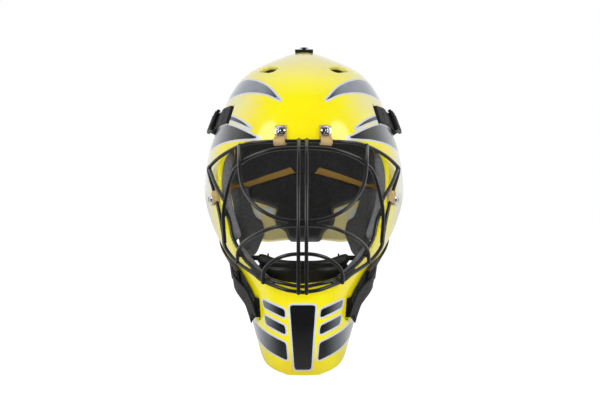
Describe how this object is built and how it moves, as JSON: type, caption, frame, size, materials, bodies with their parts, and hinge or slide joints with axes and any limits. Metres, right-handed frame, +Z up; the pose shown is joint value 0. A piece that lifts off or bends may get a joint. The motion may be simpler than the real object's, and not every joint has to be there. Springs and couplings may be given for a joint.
{
  "type": "field hockey goalkeeper helmet",
  "caption": "Full-head goalkeeper helmet with a long chin guard, bolted wire face cage, strapped back plate, foam lining and swinging chin cup.",
  "frame": {"origin": "middle of the wearer's head, level with the eyes", "axes": "+X to the wearer's left, which is the right of a front view, -Y out of the face and +Z up"},
  "size_m": [0.2092, 0.2996, 0.3332],
  "materials": {
    "shell_yellow": "clear-coated yellow composite shell",
    "cage_black": "gloss black coating over steel wire",
    "clip_tan": "satin moulded strip",
    "screw_chrome": "polished plating",
    "nut_steel": "zinc plated",
    "foam_grey": "closed-cell foam with a matt skin",
    "cup_black": "glossy soft cover over foam",
    "hook_white": "hook tape",
    "webbing_black": "woven polyester",
    "buckle_black": "moulded nylon",
    "rivet_dark": "dark plated"
  },
  "bodies": {
    "helmet": {"shell": "shell_yellow", "cage_rim": "cage_black", "cage_brow_arch": "cage_black", "cage_opening_loop": "cage_black", "cage_eye_loop": "cage_black", "cage_nose_arch": "cage_black", "cage_mouth_arch": "cage_black", "cage_bar_left": "cage_black", "cage_bar_right": "cage_black", "cage_braces": "cage_black", "top_clip_left": "clip_tan", "top_clip_right": "clip_tan", "side_clip_left": "clip_tan", "side_clip_right": "clip_tan", "clip_screws": "screw_chrome", "clip_nuts": "nut_steel", "forehead_pad": "foam_grey", "crown_pad": "foam_grey", "side_pad_left": "foam_grey", "side_pad_right": "foam_grey", "jaw_pad_left": "foam_grey", "jaw_pad_right": "foam_grey", "chin_studs": "nut_steel", "top_webbing": "webbing_black", "top_rivet": "rivet_dark", "upper_webbing_left": "webbing_black", "upper_webbing_right": "webbing_black", "upper_strap_left": "webbing_black", "upper_strap_right": "webbing_black", "lower_webbing_left": "webbing_black", "lower_webbing_right": "webbing_black", "lower_strap_left": "webbing_black", "lower_strap_right": "webbing_black", "strap_tail_left": "webbing_black", "strap_tail_right": "webbing_black"},
    "back_plate": {"back_plate": "shell_yellow", "back_top_pad": "foam_grey", "back_centre_pad": "foam_grey", "back_side_pad_left": "foam_grey", "back_side_pad_right": "foam_grey", "hook_patches": "hook_white", "top_buckle": "buckle_black", "top_elastic": "webbing_black", "back_rivets": "rivet_dark", "upper_elastic_left": "webbing_black", "upper_elastic_right": "webbing_black", "lower_elastic_left": "webbing_black", "lower_elastic_right": "webbing_black"},
    "chin_cup": {"chin_cup": "cup_black"},
    "upper_buckle_left": {"upper_buckle_left": "buckle_black"},
    "upper_buckle_right": {"upper_buckle_right": "buckle_black"},
    "lower_buckle_left": {"lower_buckle_left": "buckle_black"},
    "lower_buckle_right": {"lower_buckle_right": "buckle_black"}
  },
  "joints": [
    {"name": "back_plate_swing", "type": "hinge", "parent": "helmet", "child": "back_plate", "pos_m": [0, 0.03847, 0.1546], "axis": [1, 0, 0], "range_deg": [0, 12], "stiffness_Nm_per_rad": 6, "springref_deg": -5.73, "deforming": ["upper_elastic_left", "upper_elastic_right", "lower_elastic_left", "lower_elastic_right"]},
    {"name": "chin_cup_tilt", "type": "hinge", "parent": "helmet", "child": "chin_cup", "pos_m": [0, -0.074, -0.058], "axis": [1, 0, 0], "range_deg": [-15, 15]},
    {"name": "upper_buckle_tilt_left", "type": "hinge", "parent": "helmet", "child": "upper_buckle_left", "pos_m": [-0.09353, 0.00203, 0.08394], "axis": [0.3272, 0.2266, 0.9174], "range_deg": [0, 25], "stiffness_Nm_per_rad": 0.02, "springref_deg": -8.59, "deforming": ["upper_strap_left"]},
    {"name": "upper_buckle_tilt_right", "type": "hinge", "parent": "helmet", "child": "upper_buckle_right", "pos_m": [0.09353, 0.00203, 0.08394], "axis": [0.3272, -0.2266, -0.9174], "range_deg": [0, 25], "stiffness_Nm_per_rad": 0.02, "springref_deg": -8.59, "deforming": ["upper_strap_right"]},
    {"name": "lower_buckle_tilt_left", "type": "hinge", "parent": "helmet", "child": "lower_buckle_left", "pos_m": [-0.06403, -0.07506, -0.08019], "axis": [-0.1027, -0.4905, 0.8654], "range_deg": [0, 25], "stiffness_Nm_per_rad": 0.02, "springref_deg": -8.59, "deforming": ["lower_strap_left", "strap_tail_left"]},
    {"name": "lower_buckle_tilt_right", "type": "hinge", "parent": "helmet", "child": "lower_buckle_right", "pos_m": [0.06403, -0.07506, -0.08019], "axis": [-0.1027, 0.4905, -0.8654], "range_deg": [0, 25], "stiffness_Nm_per_rad": 0.02, "springref_deg": -8.59, "deforming": ["lower_strap_right", "strap_tail_right"]}
  ]
}
